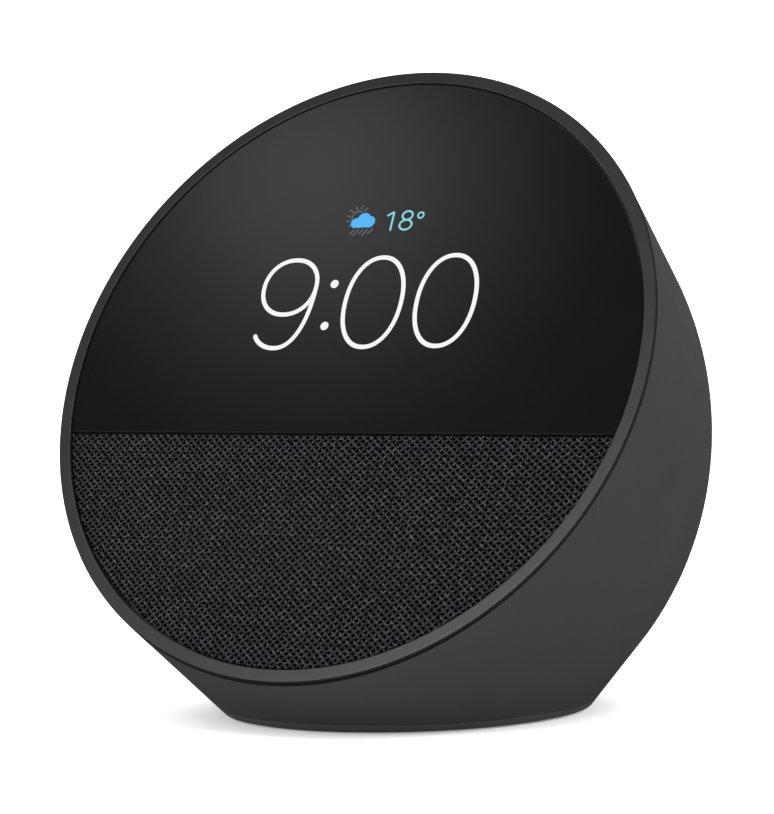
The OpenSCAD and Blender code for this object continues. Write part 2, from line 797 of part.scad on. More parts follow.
module power_board_screws() {
    color("#b8bcc0") for (s = [-1, 1])
        translate([s * jack_post_x, jack_post_y, power_board_z + power_board_t + seat_gap]) screw(5, 1.6, 1);
}

rear_shell();
bezel_ring();
display_glass();
touch_panel();
lcd_panel();
lcd_backlight();
lcd_bracket();
light_sensor();
grille_cloth();
grille_frame();
front_carrier();
speaker_gasket();
speaker_basket();
speaker_surround();
speaker_spider();
speaker_magnet();
speaker_yoke();
speaker_top_plate();
speaker_cone();
dust_cap();
voice_coil();
main_board();
processor_shield();
thermal_pad();
heat_sink();
wifi_module();
board_connectors();
board_chips();
antenna_board();
display_flex();
button_board();
tact_switches();
microphones();
mic_gaskets();
button_flex();
volume_down_button();
volume_down_plunger();
mic_off_button();
mic_off_plunger();
volume_up_button();
volume_up_plunger();
dc_jack();
jack_pin();
power_board();
power_cable();
speaker_wires();
base_weight();
foot_ring();
foot_pad();
carrier_screws();
board_screws();
speaker_screws();
bracket_screws();
button_board_screws();
weight_screws();
power_board_screws();
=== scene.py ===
# Smart display: the visual model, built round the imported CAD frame.
# Lengths are in millimetres until they reach Blender, which takes metres.
import json
import math

import bmesh
import bpy
import numpy as np
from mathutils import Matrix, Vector, kdtree


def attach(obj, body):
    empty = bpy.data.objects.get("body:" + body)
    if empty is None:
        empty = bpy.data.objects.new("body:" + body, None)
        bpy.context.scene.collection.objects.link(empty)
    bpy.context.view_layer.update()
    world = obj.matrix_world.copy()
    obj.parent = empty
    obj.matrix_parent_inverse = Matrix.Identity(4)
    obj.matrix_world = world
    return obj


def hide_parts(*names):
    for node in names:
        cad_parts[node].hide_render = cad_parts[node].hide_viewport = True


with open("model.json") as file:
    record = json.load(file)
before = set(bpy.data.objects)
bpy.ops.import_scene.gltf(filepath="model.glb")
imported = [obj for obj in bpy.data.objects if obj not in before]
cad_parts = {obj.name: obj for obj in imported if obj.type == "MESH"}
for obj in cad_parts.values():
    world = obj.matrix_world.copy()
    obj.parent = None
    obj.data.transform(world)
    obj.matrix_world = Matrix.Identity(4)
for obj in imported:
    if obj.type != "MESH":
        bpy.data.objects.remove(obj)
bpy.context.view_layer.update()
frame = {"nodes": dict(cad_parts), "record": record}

MM = 0.001

# ---------------------------------------------------------------- driving sizes
TILT = math.radians(24.65)
FACE_R = 56.5
RING_W = 2.2
OPENING_R = FACE_R - RING_W
GLASS_R = OPENING_R - 0.2
CHORD = -12.8
FACE_C = np.array([0.0, -27.95, 60.2])
DOME_C = np.array([0.0, -1.25, 48.5])
DOME_A = np.array([50.8, 52.7, 56.3])
FOOT_C = np.array([0.0, -4.5, 0.0])
FOOT_A = np.array([29.5, 37.5])
SHELL_FRONT = -0.9
SHELL_LOW = 1.6
FLOOR_TOP = 4.6
WALL = 1.8
GLASS_TOP = -0.3
GLASS_T = 1.1
GLASS_GAP = 0.12
CLOTH_W = -0.62

ACROSS = np.array([1.0, 0.0, 0.0])
NORMAL = np.array([0.0, -math.cos(TILT), math.sin(TILT)])
UP_FACE = np.array([0.0, math.sin(TILT), math.cos(TILT)])

# the buttons' common axis, square to the dome's outline at 50 degrees
BUTTON_R = 4.0
BUTTON_GAP = 0.2
BUTTON_PITCH = 14.0
BUTTON_ANGLE = math.radians(50)
BUTTON_ACROSS_R = 46.9
BUTTON_PROUD = 0.4
BUTTON_C = DOME_C + np.array([0.0, DOME_A[1] * math.cos(BUTTON_ANGLE), DOME_A[2] * math.sin(BUTTON_ANGLE)])
LEAN = math.atan2(math.sin(BUTTON_ANGLE) / DOME_A[2], math.cos(BUTTON_ANGLE) / DOME_A[1])
BUTTON_N = np.array([0.0, math.cos(LEAN), math.sin(LEAN)])
BUTTON_V = np.cross(BUTTON_N, ACROSS)

JACK_Z = 20.0
JACK_FLOOR_Y = 39.5
JACK_POCKET_R = 6.0


# ---------------------------------------------------------------- geometry helpers
def on_face(x, u, w):
    """A point given across the face, up it and out of it, as a point of the model in mm."""
    x, u, w = np.broadcast_arrays(x, u, w)
    return FACE_C + x[..., None] * ACROSS + u[..., None] * UP_FACE + w[..., None] * NORMAL


def on_buttons(x, y, z):
    """A point given from the middle button's place: across, up the back and out of the shell."""
    x, y, z = np.broadcast_arrays(x, y, z)
    return BUTTON_C + x[..., None] * ACROSS + y[..., None] * -BUTTON_V + z[..., None] * BUTTON_N


def make(name, points, faces, body="housing", smooth=True):
    """A mesh piece from points in mm, riding on a body."""
    mesh = bpy.data.meshes.new(name)
    corners = [tuple(p) for p in np.asarray(points) * MM]
    mesh.from_pydata(corners, [], [tuple(int(i) for i in face) for face in faces])
    mesh.validate()
    mesh.update()
    mesh.polygons.foreach_set("use_smooth", [smooth] * len(mesh.polygons))
    piece = bpy.data.objects.new(name, mesh)
    bpy.context.scene.collection.objects.link(piece)
    if body:
        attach(piece, body)
    return piece


def grid_faces(rows, cols, closed=True, start=0):
    """Quads between neighbouring rows of points, each row a loop when closed."""
    faces = []
    for i in range(rows - 1):
        for k in range(cols if closed else cols - 1):
            m = (k + 1) % cols
            a, b = start + i * cols, start + (i + 1) * cols
            faces.append((a + k, a + m, b + m, b + k))
    return faces


def loops_solid(loops, cap_first=True, cap_last=True):
    """Points and faces of a solid skinned over loops of equal length, with fans at its ends."""
    cols = len(loops[0])
    points = list(np.concatenate(loops))
    faces = grid_faces(len(loops), cols)
    last = (len(loops) - 1) * cols
    for cap, loop, base, turn in ((cap_first, loops[0], 0, -1), (cap_last, loops[-1], last, 1)):
        if cap:
            centre = len(points)
            points.append(np.mean(loop, axis=0))
            for k in range(cols):
                pair = (base + k, base + (k + 1) % cols)[::turn]
                faces.append((*pair, centre))
    return np.array(points), faces


def lathe(profile, place, steps):
    """A turned ring from a closed profile of (radius, height) pairs; place maps x, y, z to the model."""
    angle = np.arange(steps) * 2 * math.pi / steps
    points = np.concatenate([place(r * np.cos(angle), r * np.sin(angle), z) for r, z in profile])
    rows, faces = len(profile), []
    for i in range(rows):
        a, b = i * steps, (i + 1) % rows * steps
        for k in range(steps):
            m = (k + 1) % steps
            faces.append((a + k, a + m, b + m, b + k))
    return points, faces


def round_corner(p, q, r, steps=4):
    """Points of a quarter turn from p to q about the corner r, for a lathe profile."""
    p, q, r = (np.array(v, float) for v in (p, q, r))
    out = []
    for i in range(steps + 1):
        t = i * math.pi / 2 / steps
        out.append(tuple(r + (p - r) * (1 - math.sin(t)) + (q - r) * (1 - math.cos(t))))
    return out


def fix_normals(piece):
    """Turns every face outwards."""
    work = bmesh.new()
    work.from_mesh(piece.data)
    bmesh.ops.recalc_face_normals(work, faces=work.faces)
    work.to_mesh(piece.data)
    work.free()


def sharpen(piece, degrees=30):
    """Smooth shading with edges kept sharp past this angle."""
    piece.data.set_sharp_from_angle(angle=math.radians(degrees))


# ---------------------------------------------------------------- the body's form
def sphere_directions(count):
    k = np.arange(count) + 0.5
    polar = np.arccos(1 - 2 * k / count)
    turn = math.pi * (1 + 5 ** 0.5) * k
    return np.stack([np.cos(turn) * np.sin(polar), np.sin(turn) * np.sin(polar), np.cos(polar)], -1)


def reach(m, inset, low):
    """How far the body's form reaches along unit vectors m: the widest of face, foot and dome."""
    ring = m @ FACE_C + (FACE_R - inset) * np.hypot(m @ ACROSS, m @ UP_FACE)
    across, along = (FOOT_A[0] - inset) * m[..., 0], (FOOT_A[1] - inset) * m[..., 1]
    foot = m @ (FOOT_C + [0, 0, low]) + np.hypot(across, along)
    axes = DOME_A - inset
    size = np.sqrt(((axes * m) ** 2).sum(-1))
    dome = m @ DOME_C + size
    touch = DOME_C + axes ** 2 * m / size[..., None]
    kept = ((touch - FACE_C) @ NORMAL <= 0) & (touch[..., 2] >= low)
    return np.maximum(np.maximum(ring, foot), np.where(kept, dome, -FAR_AWAY))


DIRECTIONS = sphere_directions(12000)
CAST_BATCH = 1500
CAST_STEPS = (0.012, 0.006, 0.003, 0.0015, 0.0007)
CAST_SPREAD = (-1, -0.5, 0, 0.5, 1)
FAR_AWAY = 1e9


def cast(origins, rays, inset=0.0, low=0.0):
    """Where rays from inside leave the body's form, and the outward normals there."""
    heights = reach(DIRECTIONS, inset, low)
    best = np.empty_like(rays)
    for a in range(0, len(rays), CAST_BATCH):
        b = a + CAST_BATCH
        along = rays[a:b] @ DIRECTIONS.T
        room = heights - origins[a:b] @ DIRECTIONS.T
        far = np.where(along > 1e-3, room / np.maximum(along, 1e-3), FAR_AWAY)
        best[a:b] = DIRECTIONS[far.argmin(1)]
    for step in CAST_STEPS:
        side = np.cross(best, np.where(np.abs(best[:, 2:]) < 0.9, [0, 0, 1.0], [1.0, 0, 0]))
        side /= np.linalg.norm(side, axis=1)[:, None]
        other = np.cross(best, side)
        tries = np.stack([best + step * (i * side + j * other) for i in CAST_SPREAD for j in CAST_SPREAD])
        tries /= np.linalg.norm(tries, axis=-1)[..., None]
        along = (tries * rays).sum(-1)
        far = (reach(tries, inset, low) - (tries * origins).sum(-1)) / np.maximum(along, 1e-4)
        pick = np.where(along > 1e-3, far, FAR_AWAY).argmin(0)
        best = tries[pick, np.arange(len(rays))]
    distance = (reach(best, inset, low) - (best * origins).sum(1)) / (best * rays).sum(1)
    return origins + rays * distance[:, None], best


def body_rows(rows, cols, front, bottom, inset=0.0, low=0.0):
    """Loops round the body from the level `bottom` to the plane `front` behind the face, all in planes
    through the line where those two meet."""
    hinge_y = FACE_C[1] + ((bottom - FACE_C[2]) * NORMAL[2] - front) / -NORMAL[1]
    hinge = np.array([0.0, hinge_y, bottom])
    start = np.linalg.norm([0, FOOT_C[1] - hinge_y])
    end = np.linalg.norm(FACE_C + front * NORMAL - hinge)
    turns = np.arange(cols) * 2 * math.pi / cols
    origins, rays = [], []
    for i in range(rows):
        t = i / (rows - 1)
        angle = t * (math.pi / 2 - TILT)
        out = np.array([0.0, math.cos(angle), math.sin(angle)])
        centre = hinge + out * (start + (end - start) * t)
        origins.append(np.repeat(centre[None], cols, 0))
        rays.append(np.cos(turns)[:, None] * out + np.sin(turns)[:, None] * ACROSS)
    points, normals = cast(np.concatenate(origins), np.concatenate(rays), inset, low)
    return points.reshape(rows, cols, 3), normals.reshape(rows, cols, 3)


# ---------------------------------------------------------------- materials
class Paint:
    """A node material with a Principled surface, and short calls for the nodes that feed it."""

    def __init__(self, name):
        self.mat = bpy.data.materials.new(name)
        self.mat.use_nodes = True
        self.tree = self.mat.node_tree
        self.bsdf = self.tree.nodes["Principled BSDF"]
        self.coords = self.node("ShaderNodeTexCoord").outputs["Object"]

    def node(self, kind, **inputs):
        made = self.tree.nodes.new(kind)
        for key, value in inputs.items():
            made.inputs[key.replace("_", " ")].default_value = value
        return made

    def link(self, out, into):
        self.tree.links.new(out, into)

    def set(self, **values):
        for key, value in values.items():
            self.bsdf.inputs[key.replace("_", " ")].default_value = value
        return self

    def noise(self, scale, detail=3.0, rough=0.5, stretch=None):
        made = self.node("ShaderNodeTexNoise", Scale=scale, Detail=detail, Roughness=rough)
        source = self.coords
        if stretch:
            mapping = self.node("ShaderNodeMapping")
            mapping.inputs["Scale"].default_value = stretch
            self.link(source, mapping.inputs["Vector"])
            source = mapping.outputs["Vector"]
        self.link(source, made.inputs["Vector"])
        return made.outputs["Fac"]

    def ramp(self, fac, stops):
        made = self.node("ShaderNodeValToRGB")
        ramp = made.color_ramp
        while len(ramp.elements) < len(stops):
            ramp.elements.new(0.5)
        for element, (place, colour) in zip(ramp.elements, stops):
            element.position = place
            element.color = (*colour, 1)
        self.link(fac, made.inputs["Fac"])
        return made.outputs["Color"]

    def colour(self, fac, stops):
        self.link(self.ramp(fac, stops), self.bsdf.inputs["Base Color"])
        return self

    def range(self, fac, low, high, socket):
        """Links a noise to a socket, its usual spread stretched to low..high."""
        made = self.node("ShaderNodeMapRange")
        made.inputs["From Min"].default_value = 0.3
        made.inputs["From Max"].default_value = 0.7
        made.inputs["To Min"].default_value = low
        made.inputs["To Max"].default_value = high
        self.link(fac, made.inputs["Value"])
        self.link(made.outputs["Result"], self.bsdf.inputs[socket])
        return self

    def bump(self, height, strength, distance):
        made = self.node("ShaderNodeBump", Strength=strength, Distance=distance)
        self.link(height, made.inputs["Height"])
        self.link(made.outputs["Normal"], self.bsdf.inputs["Normal"])


def shades(colour, spread):
    """Two stops round a colour, a little darker and a little lighter."""
    return [(0.35, [c * (1 - spread) for c in colour]), (0.65, [c * (1 + spread) for c in colour])]


def moulded(name, colour, rough, grain=2600, depth=0.00003, spread=0.025, strength=0.3):
    """Fine textured moulded plastic."""
    p = Paint(name)
    p.colour(p.noise(60, 2), shades(colour, spread))
    p.range(p.noise(240, 5), rough - 0.015, rough + 0.02, "Roughness")
    p.bump(p.noise(grain, 2, 0.6), strength, depth)
    return p


def metal(name, colour, rough, stretch=(1, 1, 14), scale=1400):
    """Metal with fine drawn lines."""
    p = Paint(name).set(Metallic=1.0)
    lines = p.noise(scale, 4, 0.6, stretch=stretch)
    p.colour(lines, shades(colour, 0.12))
    p.range(p.noise(300, 4), rough - 0.07, rough + 0.1, "Roughness")
    p.bump(lines, 0.25, 0.00002)
    return p


SHELL_PAINT = moulded("shell_plastic", (0.0300, 0.0305, 0.0300), 0.52).set(IOR=1.42)
TRIM_PAINT = moulded("trim_plastic", (0.0125, 0.0126, 0.0130), 0.34, grain=3400, depth=0.00002)
# painted shade: near-black, almost glossless paint for faces beside joining gaps, standing for their shadow
PAINTED_GAP_SHADE = moulded("painted_gap_shade", (0.010, 0.010, 0.010), 0.9).set(Specular_IOR_Level=0.1)
BUTTON_PAINT = moulded("button_plastic", (0.036, 0.0364, 0.037), 0.45, grain=3400, depth=0.00002)
MARK_PAINT = moulded("button_mark_ink", (0.34, 0.345, 0.35), 0.5, grain=3400, depth=0.00001)
FOOT_RING_PAINT = moulded("foot_ring_plastic", (0.046, 0.0465, 0.047), 0.42, grain=3000, depth=0.00002)

# painted light on the screen glass: an oval patch of emission fixed on the face, and how its light falls off
PAINTED_GLOW_CENTRE = (-16.5, 37.5)
PAINTED_GLOW_SIZE = (40.3, 30.7)
PAINTED_GLOW_TURN = -0.6
PAINTED_GLOW_REACH = 2.2
PAINTED_GLOW_STOPS = (0.0, 0.2, 0.32, 0.45, 0.58, 0.7, 0.82, 0.92, 1.0)
PAINTED_GLOW_LIGHT = 0.046


def face_coordinates(p):
    """A material's coordinates across the face, up it and out of it."""
    place = p.node("ShaderNodeMapping")
    place.vector_type = "TEXTURE"
    place.inputs["Location"].default_value = tuple(FACE_C * MM)
    place.inputs["Rotation"].default_value = (math.pi / 2 - TILT, 0, 0)
    p.link(p.coords, place.inputs["Vector"])
    return place.outputs["Vector"]


def glass_paint():
    """Black screen glass: a polished coat over a dark layer, with a painted light patch: an oval of emission
    fixed on the glass.
    """
    p = Paint("screen_glass").set(Roughness=0.06, IOR=1.5)
    place = p.node("ShaderNodeMapping")
    place.vector_type = "TEXTURE"
    place.inputs["Location"].default_value = (PAINTED_GLOW_CENTRE[0] * MM, PAINTED_GLOW_CENTRE[1] * MM, 0)
    place.inputs["Rotation"].default_value = (0, 0, PAINTED_GLOW_TURN)
    place.inputs["Scale"].default_value = (PAINTED_GLOW_SIZE[0] * PAINTED_GLOW_REACH * MM, PAINTED_GLOW_SIZE[1] * PAINTED_GLOW_REACH * MM, 1)
    p.link(face_coordinates(p), place.inputs["Vector"])
    glow = p.node("ShaderNodeTexGradient")
    glow.gradient_type = "SPHERICAL"
    p.link(place.outputs["Vector"], glow.inputs["Vector"])
    p.colour(p.noise(60, 3), [(0.3, (0.0020, 0.0021, 0.0022)), (0.7, (0.0030, 0.0032, 0.0033))])
    # painted light: the oval's emission is brightest at its middle and fades outwards
    falloff = [math.exp(-((1 - t) * PAINTED_GLOW_REACH) ** 2) for t in PAINTED_GLOW_STOPS]
    light = p.ramp(glow.outputs["Fac"], [(t, (f, f, f)) for t, f in zip(PAINTED_GLOW_STOPS, falloff)])
    p.link(light, p.bsdf.inputs["Emission Color"])
    p.set(Emission_Strength=PAINTED_GLOW_LIGHT)
    p.range(p.noise(1500, 2), 0.05, 0.08, "Roughness")
    return p


def lit_paint(name, colour, strength):
    """A lit part of the screen's picture, with the fine grid of its pixels."""
    p = Paint(name).set(Base_Color=(0.02, 0.02, 0.02, 1), Roughness=0.2)
    grain = p.noise(5200, 1)
    p.link(p.ramp(grain, [(0.3, [c * 0.93 for c in colour]), (0.6, colour)]), p.bsdf.inputs["Emission Color"])
    p.set(Emission_Strength=strength)
    return p


def thread_paint():
    """Dark blue-grey yarn with fibres of random tone; the lightest stand for glints, painted highlights in
    its colour.
    """
    p = Paint("speaker_yarn").set(Specular_IOR_Level=0.22)
    fibre = p.noise(1900, 4, 0.7)
    dark, middle, light = (0.0028, 0.0034, 0.0038), (0.0125, 0.0147, 0.0163), (0.080, 0.090, 0.097)
    # partly painted highlights: the light stop stands for fibres catching the light
    p.colour(fibre, [(0.36, dark), (0.5, middle), (0.66, light)])
    p.range(fibre, 0.42, 0.7, "Roughness")
    p.bump(p.noise(5200, 4, 0.7), 0.5, 0.00006)
    return p


def scrim_shade_paint():
    """Black backing cloth behind the yarn, near-black and almost glossless: partly a real backing, partly
    painted shade where it shows through the holes.
    """
    return moulded("speaker_scrim_shade", (0.0025, 0.0027, 0.0030), 0.9, grain=4000, depth=0.00005).set(
        Specular_IOR_Level=0.05)


def board_paint():
    """Green board with a lighter pattern of tracks under its varnish."""
    p = Paint("circuit_board").set(Coat_Weight=0.4)
    cells = p.node("ShaderNodeTexVoronoi", Scale=420)
    cells.distance = "MANHATTAN"
    p.link(p.coords, cells.inputs["Vector"])
    p.colour(cells.outputs["Distance"], [(0.25, (0.006, 0.055, 0.028)), (0.3, (0.012, 0.10, 0.05))])
    p.range(p.noise(300, 4), 0.35, 0.5, "Roughness")
    p.bump(cells.outputs["Distance"], 0.2, 0.00003)
    return p


SLOT_PAINTS = {
    "touch_film": lambda: moulded("touch_film", (0.02, 0.028, 0.03), 0.2),
    "lcd": lambda: moulded("lcd_face", (0.012, 0.014, 0.017), 0.15),
    "backlight": lambda: moulded("backlight_face", (0.75, 0.78, 0.8), 0.5),
    "sheet_steel": lambda: metal("sheet_steel", (0.52, 0.53, 0.55), 0.35),
    "circuit_board": board_paint,
    "inner_plastic": lambda: moulded("inner_plastic", (0.018, 0.018, 0.019), 0.55),
    "foam": lambda: moulded("foam", (0.012, 0.012, 0.013), 0.95, grain=1800, depth=0.0002, strength=0.8),
    "soft_rubber": lambda: moulded("soft_rubber", (0.012, 0.012, 0.013), 0.6),
    "spider_cloth": lambda: moulded("spider_cloth", (0.35, 0.17, 0.05), 0.8, 2200, 0.0001, strength=0.7),
    "magnet": lambda: moulded("magnet", (0.03, 0.033, 0.036), 0.45),
    "plated_steel": lambda: metal("plated_steel", (0.6, 0.62, 0.64), 0.28),
    "cone_paper": lambda: moulded("cone_paper", (0.022, 0.023, 0.025), 0.75, 1500, 0.0001, strength=0.6),
    "copper": lambda: metal("copper_wire", (0.6, 0.25, 0.1), 0.3),
    "thermal_pad": lambda: moulded("thermal_pad", (0.28, 0.4, 0.52), 0.7),
    "heat_sink": lambda: metal("heat_sink", (0.62, 0.63, 0.65), 0.38),
    "connector": lambda: moulded("connector", (0.68, 0.64, 0.54), 0.45),
    "chip": lambda: moulded("chip", (0.018, 0.018, 0.02), 0.5),
    "antenna": lambda: moulded("antenna", (0.02, 0.06, 0.16), 0.35),
    "flex": lambda: moulded("flex_film", (0.5, 0.24, 0.05), 0.3),
    "brass": lambda: metal("gold_plate", (0.78, 0.56, 0.24), 0.22),
    "jack": lambda: moulded("jack_plastic", (0.014, 0.014, 0.015), 0.4),
    "wire": lambda: moulded("wire_sleeve", (0.3, 0.02, 0.02), 0.35),
    "weight": lambda: metal("cast_weight", (0.18, 0.18, 0.19), 0.6, stretch=(1, 1, 1), scale=700),
    "foot_rubber": lambda: moulded("foot_rubber", (0.014, 0.014, 0.014), 0.8, 1600, 0.0001, strength=0.7),
    "screw_steel": lambda: metal("screw_steel", (0.6, 0.61, 0.63), 0.25),
    "shell": lambda: SHELL_PAINT, "trim": lambda: TRIM_PAINT, "button": lambda: BUTTON_PAINT,
    "foot_ring": lambda: FOOT_RING_PAINT, "screen_glass": glass_paint, "speaker_cloth": scrim_shade_paint,
}


def dress(piece, paint):
    piece.data.materials.clear()
    piece.data.materials.append(paint.mat)
    return piece


def paint_gap_shade(piece, chosen):
    """Gives narrow faces beside a joining gap a painted shade: near-black paint standing for the gap's
    shadow. chosen takes a face's place up the face, out of it, and its distance from the face's middle."""
    piece.data.materials.append(PAINTED_GAP_SHADE.mat)
    for face in piece.data.polygons:
        spot = np.array(face.center) / MM - FACE_C
        if chosen(spot @ UP_FACE, spot @ NORMAL, np.linalg.norm(spot)):
            face.material_index = 1


def dress_frame():
    """Every carried-over CAD node takes the paint of its material slot."""
    paints = {}
    slots = {s["node"]: s["material_slot"] for s in frame["record"]["subparts"]}
    for node, piece in frame["nodes"].items():
        slot = slots[node]
        if slot not in paints:
            paints[slot] = SLOT_PAINTS[slot]()
        for k in range(len(piece.material_slots)):
            piece.material_slots[k].material = paints[slot].mat
    return paints


PAINTS = dress_frame()


# ---------------------------------------------------------------- shell
SHELL_EDGE = 0.06
SHELL_INNER_FRONT = -3.3
LIP_R = 55.2
LIP_DEPTH = 2.4
MIC_R = 0.5
CUT_STEPS = 96
BUTTON_CUT_FROM = -14.0
MIC_CUT_FROM = -8.0
JACK_BOSS_WALL = 1.4
JACK_BOSS_BACK = 2.0
JACK_BOSS_T = 3.2
JACK_COLLAR_R = 4.6


def cylinder_cutter(name, centre, axis, radius, length, steps=CUT_STEPS):
    """A closed cylinder from centre along axis, used to cut a hole."""
    axis = np.array(axis, float)
    side = np.cross(axis, [1.0, 0, 0] if abs(axis[0]) < 0.9 else [0, 1.0, 0])
    side /= np.linalg.norm(side)
    other = np.cross(axis, side)
    turn = np.arange(steps) * 2 * math.pi / steps
    ring = radius * (np.cos(turn)[:, None] * side + np.sin(turn)[:, None] * other)
    points, faces = loops_solid([centre + ring, centre + ring + axis * length])
    piece = make(name, points, faces, body=None)
    fix_normals(piece)
    return piece


def cut(piece, cutters, operation="DIFFERENCE"):
    """Cuts the cutters out of a piece, or joins them to it, and removes them."""
    for cutter in cutters:
        change = piece.modifiers.new("cut", "BOOLEAN")
        change.operation = operation
        change.solver = "EXACT"
        change.object = cutter
    depsgraph = bpy.context.evaluated_depsgraph_get()
    done = bpy.data.meshes.new_from_object(piece.evaluated_get(depsgraph))
    piece.modifiers.clear()
    piece.data = done
    for cutter in cutters:
        bpy.data.objects.remove(cutter)


def rear_shell():
    rows, cols = 70, 200
    outer, normals = body_rows(rows, cols, SHELL_FRONT, SHELL_LOW)
    inner, _ = body_rows(28, cols, SHELL_INNER_FRONT, FLOOR_TOP, WALL, FLOOR_TOP)
    edge = SHELL_EDGE

    front = outer[-1]
    middle = FACE_C + SHELL_FRONT * NORMAL
    spokes = (front - middle) / np.linalg.norm(front - middle, axis=1)[:, None]
    low_middle = np.array([0, FOOT_C[1], SHELL_LOW])
    low_spokes = (outer[0] - low_middle) / np.linalg.norm(outer[0] - low_middle, axis=1)[:, None]
    loops = [outer[0] - low_spokes * 4, outer[0] - low_spokes * edge]
    loops += [outer[0] + (outer[1] - outer[0]) * 0.35] + list(outer[1:-1])
    loops += [front - edge * (front - outer[-2]) / np.linalg.norm(front - outer[-2], axis=1)[:, None]]
    loops += [front - edge * spokes]
    lip = middle + spokes * LIP_R
    loops += [lip, lip - LIP_DEPTH * NORMAL] + list(inner[::-1])
    points, faces = loops_solid(loops)
    shell = make("rear_shell_body", points, faces)
    fix_normals(shell)
    here = np.array(0.0)
    cutters = []
    for x in (-BUTTON_PITCH, 0, BUTTON_PITCH):
        start = on_buttons(np.array(x), here, np.array(BUTTON_CUT_FROM))
        cutters.append(cylinder_cutter("cut_button", start, BUTTON_N, BUTTON_R + BUTTON_GAP, 30))
    for x in (-BUTTON_PITCH / 2, BUTTON_PITCH / 2):
        start = on_buttons(np.array(x), here, np.array(MIC_CUT_FROM))
        cutters.append(cylinder_cutter("cut_mic", start, BUTTON_N, MIC_R, 20, 32))
    cut(shell, cutters)
    pocket = np.array([0, JACK_FLOOR_Y, JACK_Z])
    back = np.array([0, 1, 0])
    boss_r = JACK_POCKET_R + JACK_BOSS_WALL
    boss = cylinder_cutter("pocket", pocket - JACK_BOSS_BACK * back, back, boss_r, JACK_BOSS_T)
    cut(shell, [boss], "UNION")
    cut(shell, [
        cylinder_cutter("cut_pocket", pocket, back, JACK_POCKET_R, 30),
        cylinder_cutter("cut_collar", pocket - 6 * back, back, JACK_COLLAR_R, 20),
    ])
    smooth_from(shell, outer.reshape(-1, 3), normals.reshape(-1, 3))
    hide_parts("rear_shell")
    dress(shell, SHELL_PAINT)
    # painted shade: the shell's front rim, chamfer and lip take the dark gap paint
    paint_gap_shade(shell, lambda up, out, away: out > SHELL_FRONT - 0.05 and away > LIP_R - 0.2)


def smooth_from(piece, points, normals):
    """Shades the piece's outer skin with the form's own normals, and leaves its other faces as they are."""
    tree = kdtree.KDTree(len(points))
    for k, p in enumerate(points):
        tree.insert(p * MM, k)
    tree.balance()
    mesh = piece.data
    mesh.polygons.foreach_set("use_smooth", [True] * len(mesh.polygons))
    mesh.set_sharp_from_angle(angle=math.radians(28))
    found = {}

    def form_normal(index):
        if index not in found:
            near = tree.find_n(mesh.vertices[index].co, 4)
            weight = np.array([1 / (d + 1e-5) for _, _, d in near])
            blend = (normals[[k for _, k, _ in near]] * weight[:, None]).sum(0)
            found[index] = (blend / np.linalg.norm(blend), near[0][2])
        return found[index]

    corner_normals = [tuple(c.vector) for c in mesh.corner_normals]
    for face in mesh.polygons:
        for k in face.loop_indices:
            normal, gap = form_normal(mesh.loops[k].vertex_index)
            if gap < 1.2 * MM and float(np.dot(normal, face.normal)) > 0.94:
                corner_normals[k] = tuple(normal)
    mesh.normals_split_custom_set(corner_normals)


# ---------------------------------------------------------------- face
RING_ROUND_IN = 0.08
RING_ROUND_OUT = 0.22
RING_T = 0.55
RING_SEAT = -1.5
RING_STEP = 1.55
RING_STEP_W = -3.0
RING_FOOT = 3.1
RING_FOOT_IN = 4.5
RING_FOOT_W = -4.6


def bezel_ring():
    outer, inner = FACE_R, OPENING_R
    small, large = RING_ROUND_IN, RING_ROUND_OUT
    profile = [(inner, RING_SEAT), (inner, -small - 0.02)]
    profile += round_corner((inner, -small), (inner + small, 0), (inner, 0), 3)
    profile += [(inner + 0.2, 0), (outer - large - 0.06, 0)]
    profile += round_corner((outer - large, 0), (outer, -large), (outer, 0), 5)
    profile += [(outer, 0.05 - RING_T), (outer - 0.05, -RING_T), (outer - RING_STEP, -RING_T)]
    profile += [(outer - RING_STEP, RING_STEP_W), (outer - RING_FOOT, RING_STEP_W)]
    profile += [(outer - RING_FOOT, RING_FOOT_W), (outer - RING_FOOT_IN, RING_FOOT_W)]
    profile += [(outer - RING_FOOT_IN, RING_SEAT)]
    points, faces = lathe(profile, on_face, 320)
    ring = make("trim_ring", points, faces)
    fix_normals(ring)
    sharpen(ring, 40)
    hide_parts("bezel_ring")
    dress(ring, TRIM_PAINT)
    # painted shade: most of the ring's outer rounding and its side take the dark gap paint
    paint_gap_shade(ring, lambda up, out, away: out < -0.02 and away > outer - 1)


def segment_outline(radius, chord, above, steps):
    """The outline of a disc cut by a straight edge: the part above the edge or below it."""
    half = math.acos(min(1.0, abs(chord) / radius))
    span = math.pi - half if above else half
    arc = np.linspace(-span, span, steps)
    sign = 1 if above else -1
    x, u = radius * np.sin(arc), sign * radius * np.cos(arc)
    points = np.stack([x, u], -1)
    straight = np.linspace(points[-1], points[0], max(8, steps // 3))[1:-1]
    return np.concatenate([points, straight])


def slab_from_outline(outline, top, bottom, bevel=0.12, steps=3):
    """A thin plate from an outline on the face, with softened top edges."""
    centre = outline.mean(0)
    ahead = np.roll(outline, -1, 0) - np.roll(outline, 1, 0)
    ahead /= np.linalg.norm(ahead, axis=1)[:, None]
    inward = np.stack([-ahead[:, 1], ahead[:, 0]], -1)
    turn = np.sign(((centre - outline) * inward).sum(1).mean())
    inward *= turn
    loops = [on_face(outline[:, 0], outline[:, 1], bottom)]
    for i in range(steps + 1):
        t = i / steps * math.pi / 2
        shift = outline + inward * bevel * (1 - math.cos(t))
        loops.append(on_face(shift[:, 0], shift[:, 1], top - bevel * (1 - math.sin(t))))
    for extra in (0.05, 0.6):
        shift = outline + inward * (bevel + extra)
        loops.append(on_face(shift[:, 0], shift[:, 1], top))
    return loops_solid(loops)


